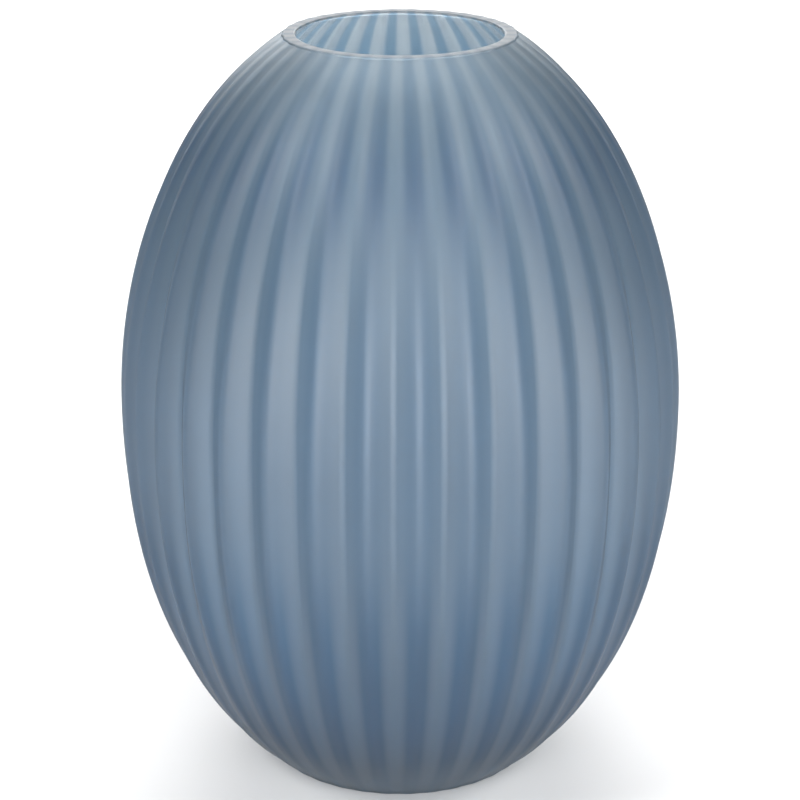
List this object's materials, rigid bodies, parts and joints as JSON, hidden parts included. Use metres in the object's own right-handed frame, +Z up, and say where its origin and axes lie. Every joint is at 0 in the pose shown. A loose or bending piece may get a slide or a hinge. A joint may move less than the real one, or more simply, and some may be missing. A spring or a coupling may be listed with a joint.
{
  "type": "glass vase",
  "caption": "Egg-shaped vase of tinted satin glass with upright moulded ribs, a round open mouth with a flat ground rim, and a flat foot ring.",
  "frame": {"origin": "centre of the base, on the plane the vase stands on", "axes": "+Z up along the vase's axis, from the base to the mouth; +X and +Y each point at the crest of a rib, and the vase looks the same from any side"},
  "size_m": [0.149, 0.149, 0.2],
  "materials": {
    "satin_glass": "etched satin, blue-grey tint, translucent"
  },
  "bodies": {
    "root": {"glass_body": "satin_glass"}
  },
  "joints": []
}
